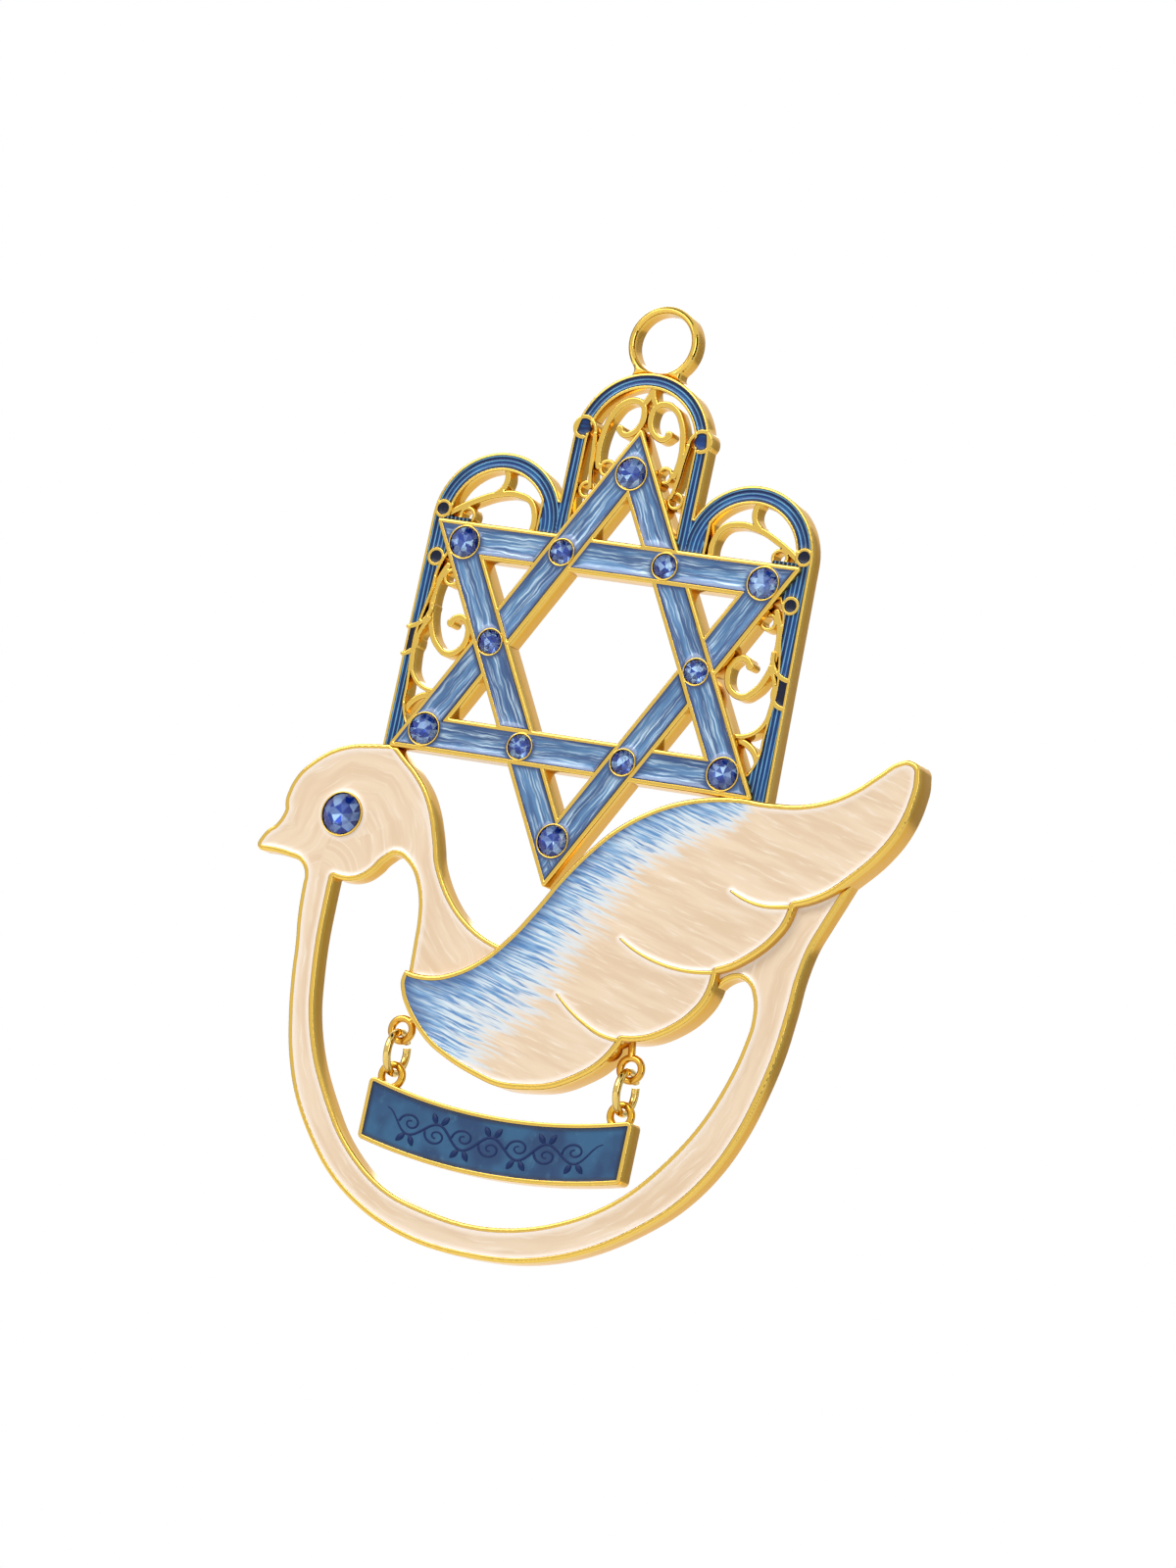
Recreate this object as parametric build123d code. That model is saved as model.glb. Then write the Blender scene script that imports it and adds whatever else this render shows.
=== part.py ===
from build123d import *
import math
import os

# Hanging hamsa hand ornament, cast in relief, gilded and filled with enamel.
# Every piece is drawn in the plane of the ornament, x to the right and z up, with the
# centre of the star at zero, and thickened forwards from one common flat back.
# Only the finished solids are moved so that the hole of the hanging ring is the origin.

# Levels of the relief, measured forwards from the flat back
arch_thickness = 2.4
filigree_thickness = 2.1
dove_thickness = 2.6
star_thickness = 3.0
wing_thickness = 3.8
banner_thickness = 2.6
enamel_below_rim = 0.12
enamel_thickness = 0.45

# Star of two triangles
star_bar_reach = 12.5
star_bar_width = 4.6
star_rim = 0.6
star_tip_radius = 0.35

# Three arches: the shares are of star_bar_reach, which sets the size of the whole hand
middle_arch_rise_share = 2.176
middle_arch_radius_share = 0.756
middle_arch_band_share = 0.160
side_arch_rise_share = 1.220
side_arch_spread_share = 1.404
side_arch_radius_share = 0.720
side_arch_band_share = 0.188
side_leg_edge_share = 0.952
arch_rim_share = 0.0288
right_foot_lean = 0.8

# Filigree wires and small scrolls
wire_width = 0.85
thin_wire_width = 0.6
volute_wire_share = 0.040
volute_eye_share = 0.068
eyelet_radius_share = 0.096
eyelet_wall = 0.42
loop_radius_share = 0.096
loop_wall = 0.5
knob_radius = 0.55
smallest_cell_width = 0.5

# Hanging ring
ring_hole_radius = 3.8
ring_wall = 1.05
ring_web = 0.15
ring_fillet = 0.9

# Dove, loop band and wing: the shares of star_bar_reach that their outlines follow
hand_width_share = 7.04
loop_drop_share = 6.08
dove_rim = 0.62
wing_rim = 0.72
feather_line_width = 0.62

# Stones and their bezels
tip_stone_radius = 2.0
tip_stone_tuck = 0.15
upright_stone_drop = 0.65
crossing_stone_radius = 1.6
eye_stone_radius = 2.68
bezel_wall = 0.2
bezel_above_star = 0.2
eye_bezel_above_dove = 0.35
stone_seat_depth = 0.9
stone_sink = 0.1
stone_facets = 8

# Banner, its ears, the lugs and the two jump rings that join them
banner_overhang = 2.35
banner_height = 7.7
banner_curve_radius = 72.0
banner_rim = 0.55
banner_corner_radius = 0.7
lug_hole_radius = 0.95
lug_wire = 0.95
link_wire = 1.0
link_diameter = 6.2
link_clearance = 0.12
link_opening_angle = 12.0
link_opening_turn = 60.0
ear_seat_drop = 2.4

# Outline shares: x follows hand_width, z follows loop_drop, from the centre of the star
head_shares = [
    (-0.280, -0.191), (-0.322, -0.196), (-0.344, -0.200), (-0.378, -0.215), (-0.403, -0.236),
    (-0.424, -0.263), (-0.434, -0.292), (-0.436, -0.308), (-0.433, -0.325),
]
brow_shares = [(-0.433, -0.325), (-0.441, -0.349), (-0.456, -0.366), (-0.465, -0.385)]
beak_shares = [(-0.465, -0.385), (-0.462, -0.397), (-0.455, -0.399)]
chin_shares = [
    (-0.455, -0.399), (-0.435, -0.399), (-0.412, -0.402), (-0.393, -0.407), (-0.382, -0.420),
    (-0.379, -0.440),
]
band_outer_shares = [
    (-0.379, -0.440), (-0.376, -0.499), (-0.370, -0.545), (-0.366, -0.591), (-0.357, -0.657),
    (-0.343, -0.722), (-0.321, -0.785), (-0.285, -0.849), (-0.235, -0.911), (-0.177, -0.955),
    (-0.094, -0.989), (0.004, -1.000), (0.088, -0.993), (0.167, -0.966), (0.241, -0.919),
    (0.309, -0.854), (0.351, -0.788), (0.377, -0.723), (0.394, -0.657), (0.406, -0.591),
    (0.412, -0.525), (0.416, -0.459), (0.424, -0.413), (0.437, -0.374), (0.452, -0.332),
    (0.468, -0.285),
]
band_inner_shares = [
    (-0.333, -0.425), (-0.333, -0.473), (-0.332, -0.525), (-0.328, -0.578), (-0.318, -0.650),
    (-0.296, -0.721), (-0.266, -0.782), (-0.225, -0.846), (-0.149, -0.912), (-0.069, -0.938),
    (0.012, -0.946), (0.119, -0.922), (0.218, -0.858), (0.274, -0.788), (0.311, -0.723),
    (0.336, -0.657), (0.352, -0.591), (0.357, -0.545), (0.352, -0.509), (0.341, -0.488),
    (0.325, -0.480), (0.309, -0.486), (0.296, -0.500),
]
throat_shares = [
    (-0.182, -0.564), (-0.184, -0.512), (-0.186, -0.473), (-0.191, -0.440), (-0.199, -0.415),
    (-0.212, -0.391), (-0.227, -0.377),
]
jowl_shares = [
    (-0.227, -0.377), (-0.243, -0.372), (-0.259, -0.385), (-0.272, -0.404), (-0.288, -0.419),
    (-0.310, -0.427), (-0.333, -0.425),
]
nape_shares = [
    (-0.050, -0.491), (-0.083, -0.478), (-0.106, -0.463), (-0.128, -0.443), (-0.145, -0.422),
    (-0.161, -0.396), (-0.173, -0.370), (-0.181, -0.341), (-0.189, -0.315), (-0.200, -0.286),
    (-0.217, -0.255), (-0.236, -0.232), (-0.262, -0.208), (-0.280, -0.191),
]
eye_share = (-0.340, -0.319)
# Corners hidden under the wing, which close the dove's outer and inner outlines
dove_closing_shares = [(0.468, -0.285), (0.466, -0.240), (-0.030, -0.500), (-0.050, -0.491)]
loop_closing_shares = [(0.296, -0.500), (0.280, -0.505), (-0.160, -0.580), (-0.182, -0.564)]

wing_top_shares = [
    (-0.181, -0.557), (-0.132, -0.558), (-0.098, -0.543), (-0.064, -0.516), (-0.030, -0.473),
    (0.001, -0.420), (0.027, -0.370), (0.061, -0.317), (0.095, -0.275), (0.130, -0.245),
    (0.175, -0.218), (0.220, -0.202), (0.266, -0.194), (0.323, -0.194), (0.368, -0.189),
    (0.412, -0.173), (0.448, -0.148), (0.476, -0.120), (0.499, -0.098), (0.516, -0.092),
    (0.531, -0.099), (0.537, -0.120), (0.536, -0.159), (0.523, -0.212), (0.499, -0.258),
    (0.470, -0.295), (0.438, -0.328), (0.414, -0.344), (0.391, -0.354),
]
second_feather_shares = [
    (0.391, -0.354), (0.386, -0.383), (0.370, -0.415), (0.345, -0.445), (0.317, -0.468),
    (0.296, -0.479),
]
third_feather_shares = [
    (0.296, -0.479), (0.291, -0.521), (0.272, -0.557), (0.243, -0.586), (0.209, -0.606),
    (0.175, -0.613),
]
belly_shares = [
    (0.175, -0.613), (0.161, -0.643), (0.147, -0.662), (0.118, -0.687), (0.084, -0.707),
    (0.039, -0.718), (0.000, -0.720), (-0.042, -0.709), (-0.088, -0.690), (-0.123, -0.669),
    (-0.146, -0.647), (-0.165, -0.623), (-0.179, -0.598), (-0.185, -0.574), (-0.181, -0.557),
]
feather_line_shares = [
    [(0.400, -0.351), (0.373, -0.358), (0.345, -0.361), (0.311, -0.354), (0.292, -0.345)],
    [(0.325, -0.464), (0.300, -0.477), (0.277, -0.482), (0.240, -0.484), (0.198, -0.477),
     (0.164, -0.464), (0.141, -0.450)],
    [(0.209, -0.605), (0.175, -0.613), (0.141, -0.609), (0.110, -0.594), (0.084, -0.576),
     (0.062, -0.556)],
]
feather_taper_share = 0.45
lug_root_shares = [(-0.158, -0.624), (0.178, -0.611)]
left_lug_share = 0.1807
right_lug_share = 0.1841
lug_drop_share = 0.6526

# Middle filigree: shares of middle_arch_radius from the centre of the middle arch
scroll_shares = [
    (0.560, -0.330), (0.600, -0.150), (0.593, 0.085), (0.519, 0.370), (0.400, 0.540),
    (0.243, 0.610), (0.105, 0.570), (0.055, 0.440), (0.075, 0.290), (0.170, 0.170),
    (0.300, 0.140), (0.365, 0.205),
]
scroll_crown_shares = [(0.0, 0.800), (0.040, 0.660), (0.105, 0.570)]
stem_shares = [(0.600, -0.620), (0.640, -0.420), (0.665, -0.127), (0.690, 0.080)]
volute_shares = [
    (0.690, 0.080), (0.735, 0.230), (0.830, 0.300), (0.935, 0.290), (1.000, 0.215),
    (1.000, 0.115), (0.940, 0.045), (0.850, 0.030),
]
volute_centre_share = (0.858, 0.160)
middle_loop_shares = [(0.425, -0.339), (0.656, -0.656)]

# Side filigree above the star: shares of side_arch_radius from the centre of a side arch
span_shares = [
    (-0.550, -0.060), (-0.550, 0.183), (-0.450, 0.360), (-0.228, 0.435), (0.083, 0.400),
    (0.417, 0.261), (0.760, 0.050),
]
span_stem_shares = [(0.017, 0.760), (-0.020, 0.600), (0.090, 0.420)]
span_leaf_share = (0.483, 0.050)
upper_eyelet_share = (0.861, 0.094)

# Side filigree beside the star: x follows the outer edge of a side arch, z follows the
# reach of the star's bars
lower_eyelet_share = (0.936, 0.792)
side_loop_share = (0.836, 0.608)
side_scroll_shares = [
    (0.868, 0.720), (0.905, 0.500), (0.908, 0.290), (0.889, 0.088), (0.844, -0.080),
    (0.776, -0.168), (0.712, -0.104), (0.688, 0.032), (0.703, 0.160), (0.750, 0.220),
    (0.790, 0.150),
]
side_hook_shares = [
    (0.900, 0.160), (0.942, -0.040), (0.945, -0.240), (0.930, -0.400), (0.878, -0.520),
    (0.790, -0.560),
]
leaf_vein_shares = [
    [(0.900, 0.300), (0.935, 0.120), (1.003, 0.050)],
    [(0.940, -0.060), (0.955, -0.180), (1.003, -0.230)],
]
foot_leaf_shares = [(0.800, -0.600), (0.870, -0.640), (0.930, -0.800)]
plate_shares = [
    (0.800, 1.120), (0.860, 0.900), (0.905, 0.680), (0.915, 0.440), (0.932, 0.240),
    (0.948, 0.020), (0.946, -0.240), (0.936, -0.500), (0.925, -0.780), (0.880, -0.960),
    (0.800, -1.100),
]

# Stone shares of its radius, and the bend in degrees below which an arc is drawn as a line
table_share = 0.56
crown_share = 0.34
break_share = 0.72
least_bend = 0.2

# Sizes that follow from the ones above
star_outer_reach = star_bar_reach + star_bar_width / 2
star_inner_reach = star_bar_reach - star_bar_width / 2
tip_stone_reach = 2 * (star_outer_reach - star_rim - tip_stone_radius - bezel_wall) + tip_stone_tuck
upright_stone_reach = tip_stone_reach - upright_stone_drop
middle_arch_rise = middle_arch_rise_share * star_bar_reach
middle_arch_radius = middle_arch_radius_share * star_bar_reach
middle_arch_band = middle_arch_band_share * star_bar_reach
side_arch_rise = side_arch_rise_share * star_bar_reach
side_arch_spread = side_arch_spread_share * star_bar_reach
side_arch_radius = side_arch_radius_share * star_bar_reach
side_arch_band = side_arch_band_share * star_bar_reach
arch_rim = arch_rim_share * star_bar_reach
side_leg_edge = side_leg_edge_share * star_bar_reach
volute_wire_width = volute_wire_share * star_bar_reach
volute_eye_radius = volute_eye_share * star_bar_reach
eyelet_radius = eyelet_radius_share * star_bar_reach
loop_radius = loop_radius_share * star_bar_reach
hand_width = hand_width_share * star_bar_reach
loop_drop = loop_drop_share * star_bar_reach
left_lug_reach = left_lug_share * hand_width
right_lug_reach = right_lug_share * hand_width
lug_centre_drop = lug_drop_share * loop_drop
banner_width = left_lug_reach + right_lug_reach + 2 * banner_overhang
hand_edge = side_arch_spread + side_arch_radius
cell_depth = enamel_below_rim + enamel_thickness
star_drop = middle_arch_rise + middle_arch_radius + ring_web + ring_hole_radius
back_level = arch_thickness / 2
lug_line_radius = lug_hole_radius + lug_wire / 2
link_line_radius = (link_diameter - link_wire) / 2
link_hang = link_line_radius - link_wire / 2 - link_clearance - lug_wire / 2
lug_pivot_drop = lug_centre_drop + lug_line_radius
ear_pivot_drop = lug_pivot_drop + 2 * link_hang
ear_centre_drop = ear_pivot_drop + lug_line_radius
banner_centre = (right_lug_reach - left_lug_reach) / 2
tip_angles = [90, 210, 330, 270, 30, 150]
tip_names = ["top", "lower_left", "lower_right", "bottom", "upper_right", "upper_left"]
crossing_names = ["right", "right_upper", "left_upper", "left", "left_lower", "right_lower"]


def polar(radius, angle):
    """Point at a distance and an angle in degrees from the centre of the star."""
    turn = math.radians(angle)
    return (radius * math.cos(turn), radius * math.sin(turn))


def follow(shares, width, height, centre=(0, 0), side=1):
    """Points of an outline from its shares, mirrored for the left side."""
    return [(side * (centre[0] + x * width), centre[1] + z * height) for x, z in shares]


def unit(x, z):
    """Direction of unit length."""
    length = math.hypot(x, z)
    return (x / length, z / length)


def tangents(points):
    """Directions of travel at the points of a run, from circles through neighbours."""
    steps = [(b[0] - a[0], b[1] - a[1]) for a, b in zip(points, points[1:])]
    if len(steps) == 1:
        return [unit(*steps[0])] * 2
    middle = []
    for (ax, az), (bx, bz) in zip(steps, steps[1:]):
        a, b = ax * ax + az * az, bx * bx + bz * bz
        middle.append(unit(ax * b + bx * a, az * b + bz * a))

    def mirrored(step, known):
        ux, uz = unit(*step)
        along = 2 * (known[0] * ux + known[1] * uz)
        return (along * ux - known[0], along * uz - known[1])

    return [mirrored(steps[0], middle[0]), *middle, mirrored(steps[-1], middle[-1])]


def arc_from(start, heading, end):
    """Arc that leaves its start along a heading, or a line where it has no bend."""
    cx, cz = end[0] - start[0], end[1] - start[1]
    chord = math.hypot(cx, cz)
    bend = math.atan2(heading[0] * cz - heading[1] * cx, heading[0] * cx + heading[1] * cz)
    if abs(bend) < math.radians(least_bend):
        return Line(start, end)
    sag = chord / 2 * math.tan(bend / 2)
    middle = ((start[0] + end[0]) / 2 + sag * cz / chord, (start[1] + end[1]) / 2 - sag * cx / chord)
    return ThreePointArc(start, middle, end)


def smooth_run(points, headings=None):
    """Chain of tangent arcs through the points, two arcs for each step."""
    edges = []
    headings = headings or tangents(points)
    for p, q, s, t in zip(points, points[1:], headings, headings[1:]):
        vx, vz = q[0] - p[0], q[1] - p[1]
        square = vx * vx + vz * vz
        along = vx * (s[0] + t[0]) + vz * (s[1] + t[1])
        spread = 1 - s[0] * t[0] - s[1] * t[1]
        reach = square / (along + math.sqrt(along * along + 2 * spread * square))
        joint = (
            (p[0] + q[0] + reach * (s[0] - t[0])) / 2,
            (p[1] + q[1] + reach * (s[1] - t[1])) / 2,
        )
        heading = unit(joint[0] - p[0] - reach * s[0], joint[1] - p[1] - reach * s[1])
        edges.append(arc_from(p, s, joint))
        edges.append(arc_from(joint, heading, q))
    return edges


def region(edges):
    """Flat face inside a closed chain of edges."""
    return Sketch() + make_face(edges)


def corners(points):
    """Straight edges between points."""
    return [Line(a, b) for a, b in zip(points, points[1:])]


def ribbon(points, width, taper=1):
    """Wire of a scroll: round at both ends and narrowing towards the second."""
    headings = tangents(points)
    left, right = [], []
    for i, ((x, z), (hx, hz)) in enumerate(zip(points, headings)):
        half = width / 2 * (1 + (taper - 1) * i / (len(points) - 1))
        left.append((x - half * hz, z + half * hx))
        right.append((x + half * hz, z - half * hx))
    (x, z), (hx, hz) = points[-1], headings[-1]
    far = (x + half * hx, z + half * hz)
    (x, z), (hx, hz) = points[0], headings[0]
    near = (x - width / 2 * hx, z - width / 2 * hz)
    back = [(-hx, -hz) for hx, hz in headings[::-1]]
    chain = smooth_run(left, headings) + [ThreePointArc(left[-1], far, right[-1])]
    chain += smooth_run(right[::-1], back) + [ThreePointArc(right[0], near, left[0])]
    return region(chain)


def disc(radius, centre=(0, 0)):
    """Full disc."""
    return Pos(*centre) * Circle(radius)


def annulus(outer, inner, centre=(0, 0)):
    """Flat ring."""
    return Pos(*centre) * (Circle(outer) - Circle(inner))


def bar(x0, x1, z0, z1):
    """Upright rectangle between two pairs of limits."""
    return Pos((x0 + x1) / 2, (z0 + z1) / 2) * Rectangle(abs(x1 - x0), abs(z1 - z0))


def joined(shapes):
    """Union of flat shapes."""
    total = Sketch()
    for shape in shapes:
        total = total + shape
    return total


def raised(flat, low, high):
    """Solid between two levels of the relief."""
    return Pos(0, 0, low) * extrude(flat, high - low, dir=(0, 0, 1))


def rims(runs, width):
    """Strips along smooth stretches of an outline, as wide on either side."""
    return joined(ribbon(points, 2 * width) for points in runs)


# Star: outlines of both triangles, the six enamel cells and the bezels
def triangle(reach, turn):
    """Triangle whose sides lie at a distance from the centre."""
    return Rot(0, 0, turn) * RegularPolygon(reach, 3, major_radius=False)


def blunt_triangle(turn):
    """Outer outline of one triangle of the star, with its tips rounded."""
    sharp = triangle(star_outer_reach, turn)
    return fillet(sharp.vertices(), star_tip_radius)


def over_bar(turn):
    """Half of a bar, on the side where it passes over the other triangle."""
    half = 2 * star_outer_reach
    return Rot(0, 0, turn) * Pos(star_bar_reach, -half / 2) * Rectangle(star_bar_width, half)


up_turn, down_turn = 90, 270
star_fill = blunt_triangle(up_turn) + blunt_triangle(down_turn)
star_region = Sketch()
star_cells = Sketch()
for turn in (up_turn, down_turn):
    star_region += blunt_triangle(turn) - triangle(star_inner_reach, turn)
    band = triangle(star_outer_reach - star_rim, turn) - triangle(star_inner_reach + star_rim, turn)
    star_cells += band - joined(over_bar(turn + step) for step in (0, 120, 240))

upright_angles = tip_angles[0], tip_angles[3]
tip_places = [
    polar(upright_stone_reach if angle in upright_angles else tip_stone_reach, angle)
    for angle in tip_angles
]
crossing_reach = star_bar_reach / math.cos(math.radians(30))
crossing_places = [polar(crossing_reach, 60 * i) for i in range(6)]
stone_places = [(place, tip_stone_radius) for place in tip_places]
stone_places += [(place, crossing_stone_radius) for place in crossing_places]
bezels = joined(disc(radius + bezel_wall, place) for place, radius in stone_places)
star_cells -= bezels
star_bezel_top = star_thickness + bezel_above_star
star_floor = star_thickness - cell_depth

# Wing: outline, cell and the lines of its feathers
def hand(shares):
    """Points of the dove and the wing."""
    return follow(shares, hand_width, loop_drop)


wing_runs = [
    hand(shares)
    for shares in (wing_top_shares, second_feather_shares, third_feather_shares, belly_shares)
]
wing_fill = region([edge for points in wing_runs for edge in smooth_run(points)])
feather_lines = joined(
    ribbon(hand(shares), feather_line_width, feather_taper_share) for shares in feather_line_shares
)
wing_cell = wing_fill - rims(wing_runs, wing_rim) - feather_lines

# Dove: head, neck, loop band and tail in one outline around one opening
front_runs = [
    hand(shares)
    for shares in (head_shares, brow_shares, beak_shares, chin_shares, band_outer_shares)
]
nape_run = hand(nape_shares)
opening_runs = [hand(shares) for shares in (band_inner_shares, throat_shares, jowl_shares)]
dove_outer = region(
    [edge for points in front_runs for edge in smooth_run(points)]
    + corners(hand(dove_closing_shares))
    + smooth_run(nape_run)
)
dove_opening = region(
    smooth_run(opening_runs[0])
    + corners(hand(loop_closing_shares))
    + smooth_run(opening_runs[1])
    + smooth_run(opening_runs[2])
)
dove_fill = dove_outer - dove_opening
eye_place = hand([eye_share])[0]
dove_cell = dove_fill - rims([*front_runs, nape_run, *opening_runs], dove_rim)
dove_cell = dove_cell - star_fill - wing_fill - disc(eye_stone_radius + bezel_wall, eye_place)


# Arches with their legs and the plates beside the star, as wide as their rims leave
def arch_bands(rim):
    """Middle arch, side arches, legs and side plates, shrunk by the width of a rim."""
    outer = middle_arch_radius - rim
    inner = middle_arch_radius - middle_arch_band + rim
    crown = (0, middle_arch_rise)
    bands = disc(outer, crown) + bar(-outer, outer, 0, middle_arch_rise)
    bands -= disc(inner, crown) + bar(-inner, inner, 0, middle_arch_rise)
    outer = side_arch_radius - rim
    inner = side_arch_radius - side_arch_band + rim
    leg_middle = middle_arch_radius - middle_arch_band / 2
    leg_edge = side_leg_edge - rim
    notch = side_arch_rise + math.sqrt(side_arch_radius**2 - (side_arch_spread - middle_arch_radius) ** 2)
    for side in (-1, 1):
        centre = (side * side_arch_spread, side_arch_rise)
        above = bar(side * leg_middle, side * hand_edge, side_arch_rise, 2 * side_arch_rise)
        beside = bar(side * leg_edge, side * hand_edge, 0, 2 * side_arch_rise)
        upper = disc(outer, centre) & above
        leg = bar(side * leg_middle, side * leg_edge, 0, side_arch_rise)
        bridge_end = (middle_arch_radius + leg_edge) / 2
        bridge = bar(side * leg_middle, side * bridge_end, 0, notch - rim)
        plate_run = follow(plate_shares, hand_edge, star_bar_reach, side=side)
        top, foot = plate_run[0], plate_run[-1]
        edge = side * (hand_edge - rim)
        foot_edge = edge + (right_foot_lean if side > 0 else 0)
        plate = region(
            smooth_run(plate_run)
            + corners([
                foot, (foot[0], -star_outer_reach), (foot_edge, -star_outer_reach),
                (edge, side_arch_rise), (top[0], side_arch_rise), top,
            ])
        )
        if rim:
            plate -= rims([plate_run], rim)
        bands += (upper + leg + bridge - (disc(inner, centre) & beside)) + plate
    return bands


def arch_scrolls(side):
    """Volute, eyelets and leaf veins that stand level with the rims of an arch."""
    crown, spring = (0, middle_arch_rise), (side_arch_spread, side_arch_rise)
    volute = follow(volute_shares, middle_arch_radius, middle_arch_radius, crown, side)
    stem = follow(stem_shares, middle_arch_radius, middle_arch_radius, crown, side)
    upper = follow([upper_eyelet_share], side_arch_radius, side_arch_radius, spring, side)[0]
    lower = follow([lower_eyelet_share], hand_edge, star_bar_reach, side=side)[0]
    wires = ribbon(volute, volute_wire_width) + ribbon(stem, volute_wire_width)
    for shares in (*leaf_vein_shares, side_hook_shares):
        wires += ribbon(follow(shares, hand_edge, star_bar_reach, side=side), thin_wire_width)
    for place in (upper, lower):
        wires += annulus(eyelet_radius, eyelet_radius - eyelet_wall, place)
    return wires


def volute_eye(side):
    """Round cell inside a volute."""
    crown = (0, middle_arch_rise)
    place = follow([volute_centre_share], middle_arch_radius, middle_arch_radius, crown, side)[0]
    return disc(volute_eye_radius, place)


def filigree(side):
    """Open wire scrolls of one side, a little lower than the arches."""
    crown, spring = (0, middle_arch_rise), (side_arch_spread, side_arch_rise)
    wires = Sketch()
    for shares, width in (
        (scroll_shares, wire_width), (scroll_crown_shares, wire_width), (stem_shares, thin_wire_width),
    ):
        run = follow(shares, middle_arch_radius, middle_arch_radius, crown, side)
        wires += ribbon(run, width)
        if shares is scroll_shares:
            wires += disc(knob_radius, run[-1])
    for place in follow(middle_loop_shares, middle_arch_radius, middle_arch_radius, crown, side):
        wires += annulus(loop_radius, loop_radius - loop_wall, place)
    for shares, width in ((span_shares, wire_width), (span_stem_shares, wire_width)):
        wires += ribbon(follow(shares, side_arch_radius, side_arch_radius, spring, side), width)
    leaf = follow([span_leaf_share], side_arch_radius, side_arch_radius, spring, side)[0]
    wires += annulus(loop_radius, loop_radius - loop_wall, leaf)
    for shares, width in ((side_scroll_shares, wire_width), (foot_leaf_shares, wire_width)):
        run = follow(shares, hand_edge, star_bar_reach, side=side)
        wires += ribbon(run, width)
        if shares is side_scroll_shares:
            wires += disc(knob_radius, run[-1])
    loop = follow([side_loop_share], hand_edge, star_bar_reach, side=side)[0]
    return wires + annulus(loop_radius, loop_radius - loop_wall, loop)


sides = (-1, 1)
above_arch = star_fill + dove_fill + wing_fill
scrolls = joined(arch_scrolls(side) for side in sides)
volute_eyes = joined(volute_eye(side) for side in sides)
arch_metal = arch_bands(0) + scrolls + volute_eyes - above_arch
filigree_metal = joined(filigree(side) for side in sides) - arch_metal - above_arch
arch_cells = (arch_bands(arch_rim) - scrolls + volute_eyes) - above_arch
arch_cell_faces = [face for face in arch_cells.faces() if face.area > smallest_cell_width**2]
arch_floor = arch_thickness - cell_depth

# Hanging ring with its two feet on the middle arch
ring_place = (0, star_drop)
arch_disc = disc(middle_arch_radius, (0, middle_arch_rise))
ring_outline = disc(ring_hole_radius + ring_wall, ring_place) + arch_disc
ring_outline = fillet(ring_outline.vertices(), ring_fillet)
ring_region = ring_outline - arch_disc - disc(ring_hole_radius, ring_place)

# Banner: a plate between two arcs about one centre high above it
def banner_outline(rim):
    """Curved plate, shrunk by the width of a rim."""
    ear_reach = (left_lug_reach + right_lug_reach) / 2
    rise = math.sqrt(banner_curve_radius**2 - ear_reach**2) - ear_pivot_drop - ear_seat_drop
    plate = annulus(
        banner_curve_radius + banner_height - rim, banner_curve_radius + rim, (banner_centre, rise)
    )
    half = banner_width / 2 - rim
    plate = plate & bar(banner_centre - half, banner_centre + half, -2 * ear_pivot_drop, 0)
    return fillet(plate.vertices(), banner_corner_radius - rim)


# Solids of the metal, each level standing on the flat back
def pocketed(flat, cells, stones, thickness, bezel_top):
    """Metal stacked level by level, with enamel cells, stone seats and raised bezels."""
    seats = joined(disc(radius, place) for place, radius in stones)
    rings = joined(annulus(radius + bezel_wall, radius, place) for place, radius in stones)
    cuts = sorted([(thickness - cell_depth, cells), (bezel_top - stone_seat_depth, seats)], key=lambda c: c[0])
    metal = raised(flat, 0, cuts[0][0])
    metal += raised(flat - cuts[0][1], cuts[0][0], cuts[1][0])
    metal += raised(flat - cuts[0][1] - cuts[1][1], cuts[1][0], thickness)
    return metal + raised(rings, thickness, bezel_top)


def stone(place, radius, top):
    """Round stone cut in facets, on the seat of its bezel."""
    girdle = top - stone_sink
    side = radius * math.cos(math.pi / (2 * stone_facets))
    height = crown_share * radius
    lean = math.degrees(math.atan2(side - table_share * radius, height))
    turn = 180 / stone_facets
    cut = RegularPolygon(side, stone_facets, major_radius=False)
    body = extrude(cut & Rot(0, 0, turn) * cut, girdle - top + stone_seat_depth, dir=(0, 0, 1))
    crown = extrude(cut, height, dir=(0, 0, 1), taper=lean)
    crown = crown & Rot(0, 0, turn) * extrude(cut, height, dir=(0, 0, 1), taper=lean * break_share)
    gem = Pos(0, 0, top - stone_seat_depth) * body + Pos(0, 0, girdle) * crown
    return Pos(*place) * gem


def eye_ring(place):
    """Small closed ring of round wire, halfway through the ornament."""
    return Pos(*place, back_level) * Torus(lug_line_radius, lug_wire / 2)


def lug(place, root):
    """Ring of round wire with its stem into the edge of the wing."""
    reach, rise = root[0] - place[0], root[1] - place[1]
    heading = unit(reach, rise)
    foot = [p + lug_line_radius * h for p, h in zip(place, heading)]
    length = math.hypot(reach, rise) - lug_line_radius
    stem_plane = Plane(origin=(*foot, back_level), z_dir=(*heading, 0))
    stem = stem_plane * extrude(Circle(lug_wire / 2), length)
    return eye_ring(place) + stem


def jump_ring(place):
    """Open ring of round wire that hangs from a lug, its gap at the upper back."""
    wire = Torus(link_line_radius, link_wire / 2, major_angle=360 - link_opening_angle)
    ring_plane = Plane(origin=(*place, back_level), x_dir=(0, 1, 0), z_dir=(1, 0, 0))
    return ring_plane * Rot(0, 0, link_opening_angle / 2 - link_opening_turn) * wire


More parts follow.
